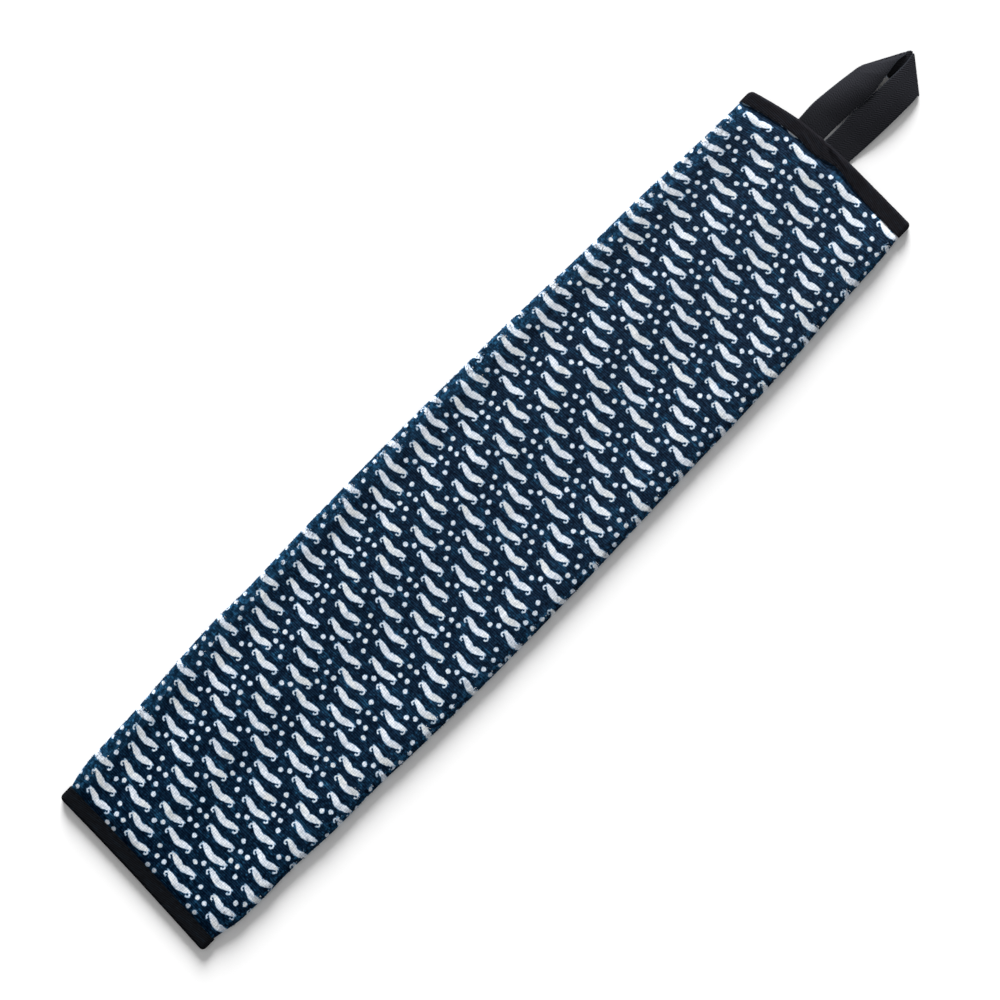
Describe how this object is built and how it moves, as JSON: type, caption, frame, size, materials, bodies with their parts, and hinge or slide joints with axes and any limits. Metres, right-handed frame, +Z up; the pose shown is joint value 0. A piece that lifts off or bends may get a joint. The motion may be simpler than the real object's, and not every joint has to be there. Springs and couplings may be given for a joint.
{
  "type": "towel",
  "caption": "Long narrow cotton towel folded lengthwise, lying flat, with taped ends and a hanging loop of wide tape at one end.",
  "frame": {"origin": "centre of the base of the bounding box, on the surface that the towel lies on", "axes": "+Z up out of the printed face, +Y along the towel towards the hanging loop, +X across it"},
  "size_m": [0.1834, 0.8748, 0.0095],
  "materials": {
    "towel": "printed terry",
    "binding": "twill tape",
    "loop": "herringbone tape"
  },
  "bodies": {
    "root": {"towel": "towel", "binding_top": "binding", "binding_bottom": "binding", "hanging_loop": "loop"}
  },
  "joints": []
}
